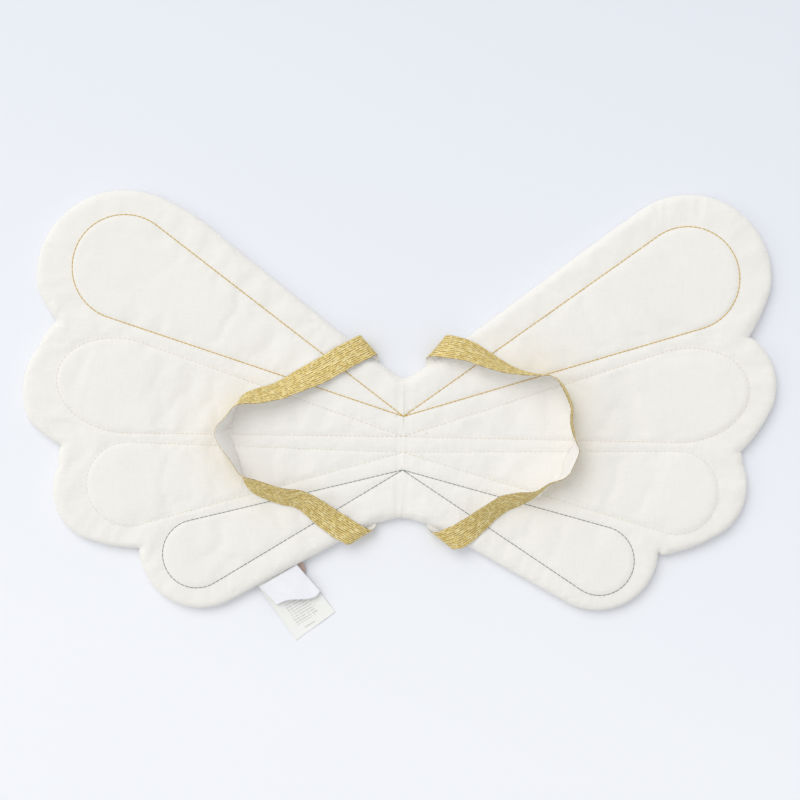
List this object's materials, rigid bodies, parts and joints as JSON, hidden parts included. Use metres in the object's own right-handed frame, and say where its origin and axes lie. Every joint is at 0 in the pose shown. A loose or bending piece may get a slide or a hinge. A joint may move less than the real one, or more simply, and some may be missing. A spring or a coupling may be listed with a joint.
{
  "type": "fairy wings",
  "caption": "Padded cotton fairy wings, scalloped and quilted in feather shapes, with two gold elastic arm straps and sewn-in labels.",
  "frame": {"origin": "underside of the pad, on the middle line of the waist, where the wings rest on their front face", "axes": "+X towards the wearer's-left-hand wing tip as seen from the strap side with the larger lobes up, +Y towards the upper edge, +Z out of the back face that carries the straps"},
  "size_m": [0.6021, 0.3598, 0.033],
  "materials": {
    "cotton": "matt ivory plain-weave cotton, slightly slubby",
    "wadding": "soft white polyester wadding",
    "gold_elastic": "glittery metallised ribbed elastic, pale grey on the reverse",
    "mustard_thread": "twisted embroidery thread",
    "pink_thread": "twisted embroidery thread",
    "cream_thread": "twisted embroidery thread",
    "teal_thread": "twisted embroidery thread",
    "label_white": "smooth white satin ribbon",
    "label_cream": "off-white printed label tape",
    "label_tan": "tan woven tape"
  },
  "bodies": {
    "centre": {"back_panel_centre": "cotton", "front_panel_centre": "cotton", "wadding_centre": "wadding", "mustard_back_thread_centre": "mustard_thread", "mustard_front_thread_centre": "mustard_thread", "pink_back_thread_centre": "pink_thread", "pink_front_thread_centre": "pink_thread", "cream_back_thread_centre": "cream_thread", "cream_front_thread_centre": "cream_thread", "teal_back_thread_centre": "teal_thread", "teal_front_thread_centre": "teal_thread"},
    "left_wing": {"back_panel_left": "cotton", "front_panel_left": "cotton", "wadding_left": "wadding", "mustard_back_thread_left": "mustard_thread", "mustard_front_thread_left": "mustard_thread", "pink_back_thread_left": "pink_thread", "pink_front_thread_left": "pink_thread", "cream_back_thread_left": "cream_thread", "cream_front_thread_left": "cream_thread", "teal_back_thread_left": "teal_thread", "teal_front_thread_left": "teal_thread", "left_strap_upper_end": "gold_elastic", "left_strap_lower_end": "gold_elastic"},
    "right_wing": {"back_panel_right": "cotton", "front_panel_right": "cotton", "wadding_right": "wadding", "mustard_back_thread_right": "mustard_thread", "mustard_front_thread_right": "mustard_thread", "pink_back_thread_right": "pink_thread", "pink_front_thread_right": "pink_thread", "cream_back_thread_right": "cream_thread", "cream_front_thread_right": "cream_thread", "teal_back_thread_right": "teal_thread", "teal_front_thread_right": "teal_thread", "right_strap_upper_end": "gold_elastic", "right_strap_lower_end": "gold_elastic"},
    "left_strap": {"left_strap": "gold_elastic"},
    "right_strap": {"right_strap": "gold_elastic"},
    "care_label": {"care_label": "label_cream", "tan_tab": "label_tan"},
    "satin_label": {"satin_label": "label_white"}
  },
  "joints": [
    {"name": "left_wing_fold", "type": "hinge", "parent": "centre", "child": "left_wing", "pos_m": [-0.012, 0, 0.012], "axis": [0, 1, 0], "range_deg": [0, 45], "stiffness_Nm_per_rad": 0.2},
    {"name": "right_wing_fold", "type": "hinge", "parent": "centre", "child": "right_wing", "pos_m": [0.012, 0, 0.012], "axis": [0, -1, 0], "range_deg": [0, 45], "stiffness_Nm_per_rad": 0.2},
    {"name": "left_strap_lift", "type": "hinge", "parent": "left_wing", "child": "left_strap", "pos_m": [-0.029, 0, 0.0126], "axis": [0, 1, 0], "range_deg": [0, 40]},
    {"name": "right_strap_lift", "type": "hinge", "parent": "right_wing", "child": "right_strap", "pos_m": [0.029, 0, 0.0126], "axis": [0, -1, 0], "range_deg": [0, 40]},
    {"name": "care_label_flap", "type": "hinge", "parent": "left_wing", "child": "care_label", "pos_m": [-0.098, -0.1102, 0.0082], "axis": [-0.8761, -0.4821, 0], "range_deg": [0, 70]},
    {"name": "satin_label_flap", "type": "hinge", "parent": "care_label", "child": "satin_label", "pos_m": [-0.098, -0.1102, 0.0082], "axis": [-0.8761, -0.4821, 0], "range_deg": [0, 25]}
  ]
}
